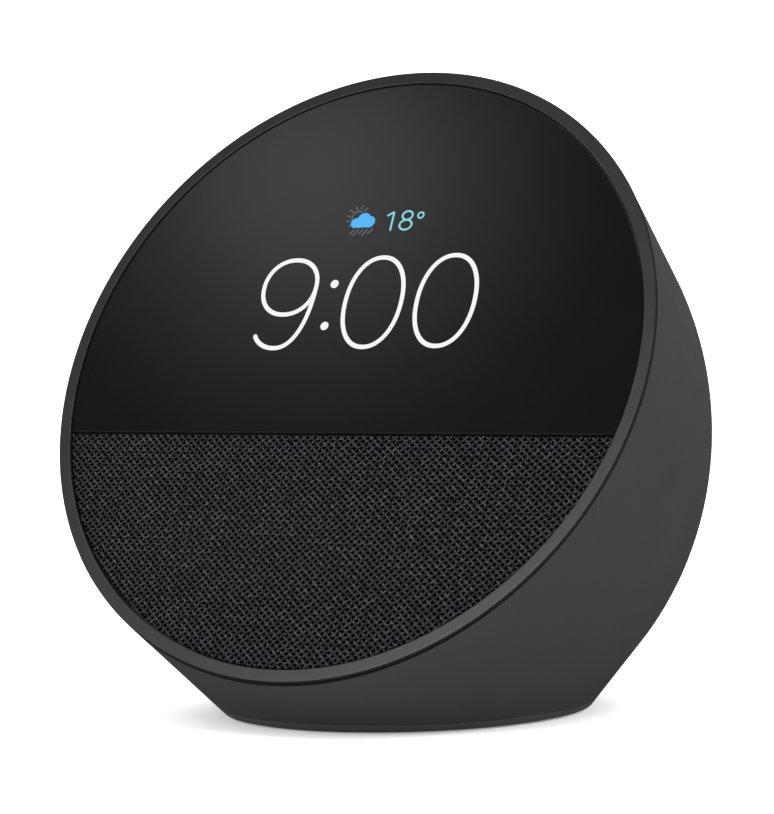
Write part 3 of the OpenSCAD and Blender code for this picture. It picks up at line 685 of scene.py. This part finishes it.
def display_glass():
    outline = segment_outline(GLASS_R, CHORD + GLASS_GAP, True, 300)
    points, faces = slab_from_outline(outline, GLASS_TOP, GLASS_TOP - GLASS_T)
    glass = make("screen_glass_plate", points, faces)
    fix_normals(glass)
    sharpen(glass, 40)
    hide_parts("display_glass")
    dress(glass, PAINTS["screen_glass"])
    # painted shade: the glass's lower edge along the straight cut takes the dark gap paint
    paint_gap_shade(glass, lambda up, out, away: up < CHORD + 0.34)


# ---------------------------------------------------------------- speaker cloth
YARN_PITCH = 0.935
YARN_ANGLES = (40.0, -40.3)
YARN_HALF_W = 0.185
YARN_HALF_T = 0.10
YARN_RISE = 0.11
YARN_SIDES = 6
YARN_SHORTEST = 0.6
CLOTH_R = GLASS_R - 0.1
CLOTH_EDGE = CHORD - 0.25
SCRIM_BELOW = 0.22
SCRIM_T = 0.12


def yarn_family(angle, other, parity):
    """Closed yarns running one way, each passing over and under the yarns that run the other way."""
    t, o = math.radians(angle), math.radians(other)
    along = np.array([math.cos(t), math.sin(t)])
    aside = np.array([-along[1], along[0]])
    cross_n = np.array([-math.sin(o), math.cos(o)])
    step = YARN_PITCH / abs(along @ cross_n)
    sides = YARN_SIDES
    ring = np.arange(sides) * 2 * math.pi / sides + math.pi / sides
    points, faces = [], []
    count = int(CLOTH_R / YARN_PITCH) + 2
    for i in range(-count, count + 1):
        base = aside * i * YARN_PITCH
        room = CLOTH_R ** 2 - base @ base
        if room <= 0:
            continue
        lo, hi = -math.sqrt(room), math.sqrt(room)
        limit = (CLOTH_EDGE - base[1]) / along[1]
        lo, hi = (lo, min(hi, limit)) if along[1] > 0 else (max(lo, limit), hi)
        if hi - lo < YARN_SHORTEST:
            continue
        sign = 1 if along @ cross_n > 0 else -1
        offset = (base @ cross_n) / YARN_PITCH * sign
        first = math.ceil((lo / step + offset) * 2)
        last = math.floor((hi / step + offset) * 2)
        places = [lo] + [(k / 2 - offset) * step for k in range(first, last + 1)] + [hi]
        places = [s for k, s in enumerate(places) if k == 0 or s - places[k - 1] > 0.02]
        start = len(points)
        for s in places:
            j = s / step + offset
            wave = math.cos(math.pi * j) * (1 if (i + parity) % 2 else -1)
            spot = base + along * s
            height = CLOTH_W + YARN_RISE * wave
            for a in ring:
                p = spot + aside * YARN_HALF_W * math.cos(a)
                points.append((p[0], p[1], height + YARN_HALF_T * math.sin(a)))
        rows = len(places)
        faces += grid_faces(rows, sides, True, start)
        faces.append(tuple(range(start + sides - 1, start - 1, -1)))
        faces.append(tuple(range(start + (rows - 1) * sides, start + rows * sides)))
    return points, faces


def speaker_cloth():
    points, faces = yarn_family(YARN_ANGLES[0], YARN_ANGLES[1], 0)
    more, more_faces = yarn_family(YARN_ANGLES[1], YARN_ANGLES[0], 1)
    shift = len(points)
    faces += [tuple(k + shift for k in f) for f in more_faces]
    flat = np.array(points + more)
    yarn = make("speaker_cloth_yarn", on_face(flat[:, 0], flat[:, 1], flat[:, 2]), faces)
    fix_normals(yarn)
    dress(yarn, thread_paint())

    outline = segment_outline(CLOTH_R, CLOTH_EDGE, False, 220)
    top = CLOTH_W - SCRIM_BELOW
    points, faces = slab_from_outline(outline, top, top - SCRIM_T, 0.04, 2)
    scrim = make("speaker_cloth_scrim", points, faces)
    fix_normals(scrim)
    sharpen(scrim, 40)
    dress(scrim, PAINTS["speaker_cloth"])
    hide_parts("grille_cloth")


# ---------------------------------------------------------------- the lit picture
PICTURE_W = GLASS_TOP + 0.005
PICTURE_T = 0.03


def flat_place(x, u, lift):
    return on_face(x, u, PICTURE_W + lift)


def resample(path, spacing):
    path = np.array(path, float)
    gaps = np.linalg.norm(np.diff(path, axis=0), axis=1)
    run = np.concatenate([[0], np.cumsum(gaps)])
    steps = max(2, int(round(run[-1] / spacing)))
    at = np.linspace(0, run[-1], steps + 1)
    return np.stack([np.interp(at, run, path[:, 0]), np.interp(at, run, path[:, 1])], -1)


def stroke(path, width, place=flat_place, thick=PICTURE_T, closed=False, spacing=0.25):
    """Points and faces of a flat line of even width with round ends, a thin closed solid."""
    path = resample(path, spacing)
    half = width / 2
    if closed:
        path = path[:-1]
        ahead = np.roll(path, -1, 0) - np.roll(path, 1, 0)
    else:
        ahead = np.gradient(path, axis=0)
    halves = np.full(len(path), half)
    ahead /= np.linalg.norm(ahead, axis=1)[:, None]
    if not closed:
        turn = np.linspace(0.08, math.pi / 2, 6)[:-1]
        head = [path[0] - ahead[0] * half * math.cos(t) for t in turn]
        tail = [path[-1] + ahead[-1] * half * math.cos(t) for t in turn[::-1]]
        round_half = half * np.sin(turn)
        path = np.concatenate([head, path, tail])
        halves = np.concatenate([round_half, halves, round_half[::-1]])
        ahead = np.concatenate([[ahead[0]] * 5, ahead, [ahead[-1]] * 5])
    aside = np.stack([-ahead[:, 1], ahead[:, 0]], -1) * halves[:, None]
    left, right = path + aside, path - aside
    corner = [(left, 0), (left, thick), (right, thick), (right, 0)]
    rings = np.stack([place(p[:, 0], p[:, 1], lift) for p, lift in corner], 1)
    n = len(path)
    points = rings.reshape(-1, 3)
    faces = grid_faces(n, 4)
    if closed:
        faces += [(4 * (n - 1) + k, 4 * (n - 1) + (k + 1) % 4, (k + 1) % 4, k) for k in range(4)]
    else:
        faces += [(3, 2, 1, 0), tuple(4 * (n - 1) + k for k in range(4))]
    return points, faces


def disc_patch(outline, place=flat_place, thick=PICTURE_T):
    """A thin solid from a closed outline on the picture."""
    outline = np.array(outline)
    return loops_solid([place(outline[:, 0], outline[:, 1], 0), place(outline[:, 0], outline[:, 1], thick)])


def join_parts(parts):
    points, faces = [], []
    for p, f in parts:
        base = len(points)
        points += [tuple(v) for v in p]
        faces += [tuple(k + base for k in face) for face in f]
    return points, faces


def picture(name, parts, paint, body="housing"):
    points, faces = join_parts(parts)
    piece = make(name, points, faces, body=body, smooth=False)
    fix_normals(piece)
    return dress(piece, paint)


def arc(cx, cu, rx, ru, start, end, power=2.0, steps=60):
    """Points of a round or slightly squared oval from one angle to another, in degrees."""
    t = np.radians(np.linspace(start, end, steps))
    c, s = np.cos(t), np.sin(t)
    x = cx + rx * np.sign(c) * np.abs(c) ** (2 / power)
    u = cu + ru * np.sign(s) * np.abs(s) ** (2 / power)
    return np.stack([x, u], -1)


DIGIT_LOW, DIGIT_HIGH = 3.1, 20.0
DIGIT_W = 0.80


def digit_zero(cx):
    mid, half = (DIGIT_LOW + DIGIT_HIGH) / 2, (DIGIT_HIGH - DIGIT_LOW) / 2
    return stroke(arc(cx, mid, 5.5, half, 0, 360, 2.15, 90), DIGIT_W, closed=True)


def digit_nine(cx):
    bowl_c, bowl_rx, bowl_ru = 14.75, 5.3, 5.25
    bowl = stroke(arc(cx, bowl_c, bowl_rx, bowl_ru, 0, 360, 2.12, 80), DIGIT_W, closed=True)
    stem = arc(cx - 0.35, bowl_c, bowl_rx + 0.35, DIGIT_LOW - bowl_c, 0, 90, 2.3, 40)
    tail = arc(cx - 0.35, DIGIT_LOW + 4.1, 4.8, 4.1, 270, 206, 2.0, 24)
    return [bowl, stroke(np.concatenate([stem, tail[1:]]), DIGIT_W)]


def weather_cloud(cx, cu):
    """The cloud as the outline of three overlapping discs with a flat base."""
    discs = [(-1.35, -0.45, 0.95), (0.15, 0.1, 1.35), (1.35, -0.3, 1.1)]
    discs += [(x, -0.55, 0.9) for x in (-0.9, -0.45, 0.0, 0.5, 0.9)]
    base = -1.35
    outline = []
    for a in np.radians(np.arange(0, 360, 5)):
        d = np.array([math.cos(a), math.sin(a)])
        far = 0.0
        for x, u, r in discs:
            c = np.array([x, u])
            b = d @ c
            root = b * b - c @ c + r * r
            if root > 0:
                far = max(far, b + math.sqrt(root))
        if d[1] < 0:
            far = min(far, base / d[1])
        outline.append((cx + d[0] * far, cu + d[1] * far))
    return disc_patch(outline)


def screen_picture():
    white = lit_paint("lit_white", (0.93, 0.93, 0.92), 1.0)
    blue = lit_paint("lit_blue", (0.075, 0.46, 0.92), 1.0)
    pale = lit_paint("lit_pale_blue", (0.23, 0.67, 0.74), 1.0)
    dim = lit_paint("lit_dim_grey", (0.13, 0.14, 0.17), 1.0)
    picture("clock_digits", [*digit_nine(-14.45), digit_zero(2.92), digit_zero(16.93)], white)
    dots = [disc_patch(arc(-5.58, u, 0.78, 0.78, 0, 350, steps=36)) for u in (7.17, 15.17)]
    picture("clock_colon", dots, white)
    picture("weather_cloud", [weather_cloud(-2.95, 27.35)], blue)
    sun_c = np.array([-4.1, 28.0])
    rays = [stroke(arc(*sun_c, 1.2, 1.2, 60, 205), 0.2)]
    for a in range(50, 231, 30):
        d = np.array([math.cos(math.radians(a)), math.sin(math.radians(a))])
        rays.append(stroke([sun_c + d * 1.65, sun_c + d * 2.25], 0.2, spacing=0.2))
    for k in range(5):
        top = np.array([-4.3 + 0.9 * k, 25.6])
        drop = 1.0 if k % 2 else 0.75
        rays.append(stroke([top, top + np.array([-0.9, -1.15]) * drop], 0.2, spacing=0.3))
    picture("weather_sun_and_rain", rays, dim)
    one = [stroke([(1.85, 28.15), (2.95, 28.75), (2.95, 25.3)], 0.36, spacing=0.12)]
    eight = [
        stroke(arc(5.75, 28.0, 0.98, 0.83, 0, 360, steps=40), 0.36, closed=True, spacing=0.12),
        stroke(arc(5.75, 26.2, 1.18, 0.95, 0, 360, steps=40), 0.36, closed=True, spacing=0.12),
    ]
    degree = [stroke(arc(8.35, 27.95, 0.55, 0.55, 0, 360, steps=30), 0.3, closed=True, spacing=0.1)]
    picture("temperature", one + eight + degree, pale)


# ---------------------------------------------------------------- buttons
CAP_SOFT = 0.35
CAP_FLANGE_LIP = 1.1
CAP_FLANGE_TOP = -7.0
CAP_FLANGE_T = 1.0
CAP_STEM_R = 1.3
CAP_STEM_END = -8.9
MARK_W = 0.34
MARK_T = 0.02


def cap_height(x, y):
    return np.sqrt((BUTTON_ACROSS_R + BUTTON_PROUD) ** 2 - x ** 2 - y ** 2) - BUTTON_ACROSS_R


def button(name, node, body, x0, marks):
    """A cap with a softened edge whose top follows the shell, over its flange and stem."""
    steps, soft = 96, CAP_SOFT
    turn = np.arange(steps) * 2 * math.pi / steps

    def ring_at(r, drop=0.0, level=None):
        x, y = x0 + r * np.cos(turn), r * np.sin(turn)
        z = cap_height(x, y) - drop if level is None else np.full(steps, level)
        return on_buttons(x, y, z)

    loops = [ring_at(r) for r in (0.4, 1.0, 1.6, 2.2, 2.8, 3.3)]
    for i in range(6):
        t = i / 5 * math.pi / 2
        loops.append(ring_at(BUTTON_R - soft + soft * math.sin(t), soft * (1 - math.cos(t))))
    top, under = CAP_FLANGE_TOP, CAP_FLANGE_TOP - CAP_FLANGE_T
    wide = BUTTON_R + CAP_FLANGE_LIP
    loops += [ring_at(BUTTON_R, level=top), ring_at(wide, level=top), ring_at(wide, level=under)]
    loops += [ring_at(CAP_STEM_R, level=under), ring_at(CAP_STEM_R, level=CAP_STEM_END)]
    points, faces = loops_solid(loops)
    cap = make(name, points, faces, body=body)
    fix_normals(cap)
    sharpen(cap, 40)
    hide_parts(node)
    dress(cap, BUTTON_PAINT)

    def mark_place(x, y, lift):
        x, y = np.asarray(x) + x0, np.asarray(y)
        return on_buttons(x, y, cap_height(x, y) + 0.004 + lift)

    parts = [stroke(path, MARK_W, mark_place, MARK_T, closed, 0.12) for path, closed in marks]
    picture(name + "_mark", parts, MARK_PAINT, body)


def buttons():
    bar = ([(-1.2, 0), (1.2, 0)], False)
    post = ([(0, -1.2), (0, 1.2)], False)
    upper, lower = arc(0, 0.75, 0.5, 0.5, 0, 180, steps=16), arc(0, -0.15, 0.5, 0.5, 180, 360, steps=16)
    capsule = np.concatenate([upper, lower, upper[:1]])
    cradle = arc(0, -0.15, 1.0, 1.0, 180, 360, steps=24)
    stand, slash = [(0, -1.15), (0, -1.7)], [(-1.5, 1.5), (1.5, -1.5)]
    mic = [(capsule, True), (cradle, False), (stand, False), (slash, False)]
    button("volume_down_cap", "volume_down_button", "volume_down", BUTTON_PITCH, [bar])
    button("mic_off_cap", "mic_off_button", "mic_off", 0.0, mic)
    button("volume_up_cap", "volume_up_button", "volume_up", -BUTTON_PITCH, [bar, post])


# ---------------------------------------------------------------- foot
RIM_LOW = 0.3
RIM_SOFT = 0.4
RIM_GAP = 0.06
RIM_EDGE = 0.08
RIM_W = 6.0
PAD_EDGE = 0.9
PAD_T = 0.9
PAD_GAP = 0.05
PAD_DISH = 3.0


def oval_loop(rx, ry, z, steps=192):
    turn = np.arange(steps) * 2 * math.pi / steps
    return np.stack([rx * np.cos(turn), FOOT_C[1] + ry * np.sin(turn), np.full(steps, z)], -1)


def outline_at(z, cols=192):
    """The body's outline at a height, as a loop of points."""
    turns = np.arange(cols) * 2 * math.pi / cols
    rays = np.stack([np.cos(turns), np.sin(turns), np.zeros(cols)], -1)
    origins = np.repeat(np.array([[0.0, FOOT_C[1], z]]), cols, 0)
    return cast(origins, rays)[0]


def foot_ring():
    """The rim under the shell: it carries the shell's outline on and turns under at the table."""
    low, top, soft = RIM_LOW, SHELL_LOW - RIM_GAP, RIM_SOFT
    middle = np.array([0.0, FOOT_C[1], 0.0])

    def loop(z, inset=0.0):
        edge = outline_at(z)
        spokes = edge - middle
        spokes[:, 2] = 0
        spokes /= np.linalg.norm(spokes, axis=1)[:, None]
        return edge - spokes * inset

    loops = [oval_loop(FOOT_A[0] - PAD_EDGE, FOOT_A[1] - PAD_EDGE, low)]
    for i in range(6):
        t = i / 5 * math.pi / 2
        loops.append(loop(low + soft * (1 - math.cos(t)), soft * (1 - math.sin(t))))
    side = top - RIM_EDGE - low - soft
    loops += [loop(low + soft + side * i / 3) for i in (1, 2, 3)]
    loops.append(loop(top, RIM_EDGE))
    (rx, ry), recess = FOOT_A, PAD_T + PAD_GAP
    loops += [oval_loop(rx - RIM_W, ry - RIM_W, z) for z in (top, recess)]
    loops.append(oval_loop(rx - PAD_EDGE, ry - PAD_EDGE, recess))
    rows, cols = len(loops), len(loops[0])
    last = (rows - 1) * cols
    faces = grid_faces(rows, cols)
    faces += [(last + k, last + (k + 1) % cols, (k + 1) % cols, k) for k in range(cols)]
    ring = make("foot_rim", np.concatenate(loops), faces)
    fix_normals(ring)
    sharpen(ring, 45)
    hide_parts("foot_ring")
    return dress(ring, FOOT_RING_PAINT)


def foot_pad():
    """The rubber pad, with a softened edge and a shallow dish underneath."""
    rx, ry = FOOT_A - 1.0
    profile = [(PAD_DISH + 0.3, 0.3), (PAD_DISH, 0.0), (0.5, 0.0), (0.2, 0.05), (0.0, 0.3), (0.0, PAD_T)]
    points, faces = loops_solid([oval_loop(rx - inset, ry - inset, z) for inset, z in profile])
    pad = make("foot_pad_rubber", points, faces)
    fix_normals(pad)
    sharpen(pad, 40)
    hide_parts("foot_pad")
    return dress(pad, PAINTS["foot_rubber"])


def soften_cad_edges():
    """A small bevel on CAD pieces whose edges can be seen."""
    for node, width in (("dc_jack", 0.18), ("jack_pin", 0.15)):
        edge = frame["nodes"][node].modifiers.new("soft_edge", "BEVEL")
        edge.width = width * MM
        edge.segments = 2
        edge.limit_method = "ANGLE"
        edge.angle_limit = math.radians(40)


# ---------------------------------------------------------------- stage
def camera():
    az, el, distance = math.radians(29.77), math.radians(-0.30), 455.7
    target = np.array([0.0, -6.64, 55.0])
    toward = np.array([math.sin(az) * math.cos(el), -math.cos(az) * math.cos(el), math.sin(el)])
    data = bpy.data.cameras.new("camera")
    data.sensor_width = 36.0
    data.lens = 115.3
    data.shift_x, data.shift_y = -0.0230, -0.0152
    data.clip_start, data.clip_end = 0.01, 20
    eye = bpy.data.objects.new("camera", data)
    eye.location = (target + toward * distance) * MM
    eye.rotation_euler = Vector(tuple(-toward)).to_track_quat("-Z", "Y").to_euler()
    bpy.context.scene.collection.objects.link(eye)
    bpy.context.scene.camera = eye


def soft_light(name, spot, aim, size, power):
    data = bpy.data.lights.new(name, "AREA")
    data.shape = "RECTANGLE"
    data.size, data.size_y = size
    data.energy = power
    lamp = bpy.data.objects.new(name, data)
    lamp.location = spot
    lamp.rotation_euler = (Vector(aim) - Vector(spot)).to_track_quat("-Z", "Y").to_euler()
    bpy.context.scene.collection.objects.link(lamp)


FLOOR_R = 0.5
STAGE_FLAT = 0.9
STAGE_BEND = 0.7
FLOOR_GLOW = 0.95
WORLD_LIGHT = 0.10


def stage_paint(name, glow):
    """Pale paper that also glows evenly, with a painted contact shadow: its glow is weaker where the foot
    stands.
    """
    p = Paint(name).set(Roughness=0.95)
    p.colour(p.noise(3, 2), [(0.3, (0.90, 0.90, 0.90)), (0.7, (0.92, 0.92, 0.92))])
    place = p.node("ShaderNodeMapping")
    place.vector_type = "TEXTURE"
    place.inputs["Location"].default_value = (0, FOOT_C[1] * MM, 0)
    place.inputs["Scale"].default_value = (FOOT_A[0] * MM, FOOT_A[1] * MM, 0.03)
    p.link(p.coords, place.inputs["Vector"])
    far = p.node("ShaderNodeVectorMath")
    far.operation = "LENGTH"
    p.link(place.outputs["Vector"], far.inputs[0])
    scaled = p.node("ShaderNodeMath")
    scaled.operation = "DIVIDE"
    scaled.inputs[1].default_value = PAINTED_SHADOW_REACH
    p.link(far.outputs["Value"], scaled.inputs[0])
    # painted contact shadow: the glow's share falls towards the foot
    stops = [(r / PAINTED_SHADOW_REACH, (g, g, g)) for r, g in PAINTED_SHADOW_GLOW]
    p.link(p.ramp(scaled.outputs["Value"], stops), p.bsdf.inputs["Emission Color"])
    p.set(Emission_Strength=glow)
    return p


# the floor's own light, with a painted contact shadow: weaker near the foot, growing away from it; foot
# widths, share
PAINTED_SHADOW_GLOW = ((0.95, 0.24), (1.06, 0.36), (1.16, 0.52), (1.3, 0.70), (1.6, 0.9), (2.0, 1.0))
PAINTED_SHADOW_REACH = 3.0


def stage_part(name, rings, glow, cap):
    steps = 128
    turn = np.arange(steps) * 2 * math.pi / steps
    loops = [np.stack([r * np.cos(turn), r * np.sin(turn), np.full(steps, z)], -1) / MM for r, z in rings]
    points, faces = loops_solid(loops, cap_first=cap, cap_last=False)
    part = make(name, points, faces, body=None)
    part.data.materials.append(stage_paint(name + "_paper", glow).mat)
    return part


def stage():
    """A pale floor, and round it a white backdrop that curves up and throws no light on the model."""
    floor = stage_part("floor", [(r, 0.0) for r in (0.02, 0.1, 0.2, 0.35, FLOOR_R)], FLOOR_GLOW, True)
    floor.visible_glossy = False
    rings = [(FLOOR_R, 0.0), (STAGE_FLAT, 0.0)]
    for k in range(1, 13):
        t = k / 12 * math.pi / 2
        rings.append((STAGE_FLAT + STAGE_BEND * math.sin(t), STAGE_BEND * (1 - math.cos(t))))
    backdrop = stage_part("backdrop", rings, 1.1, False)
    backdrop.visible_diffuse = False
    backdrop.visible_glossy = False
    backdrop.visible_shadow = False


def studio():
    stage()
    world = bpy.data.worlds.new("studio")
    bpy.context.scene.world = world
    world.use_nodes = True
    world.node_tree.nodes["Background"].inputs["Color"].default_value = (1.0, 1.0, 1.0, 1)
    world.node_tree.nodes["Background"].inputs["Strength"].default_value = WORLD_LIGHT
    soft_light("overhead", (0.05, 0.15, 1.5), (0.0, 0.05, 0), (1.5, 1.3), 20)
    soft_light("front_left", (-0.33, -0.98, 0.58), (0, 0, 0.05), (0.35, 0.35), 5.5)
    soft_light("low_left", (-1.15, -0.15, 0.12), (0, 0, 0.03), (0.5, 0.2), 5)
    soft_light("rim_right", (0.85, 0.31, 0.63), (0, 0, 0.06), (0.6, 0.6), 9)


camera()
rear_shell()
bezel_ring()
display_glass()
speaker_cloth()
screen_picture()
buttons()
foot_ring()
foot_pad()
soften_cad_edges()
studio()
bpy.context.scene.view_settings.view_transform = "Standard"
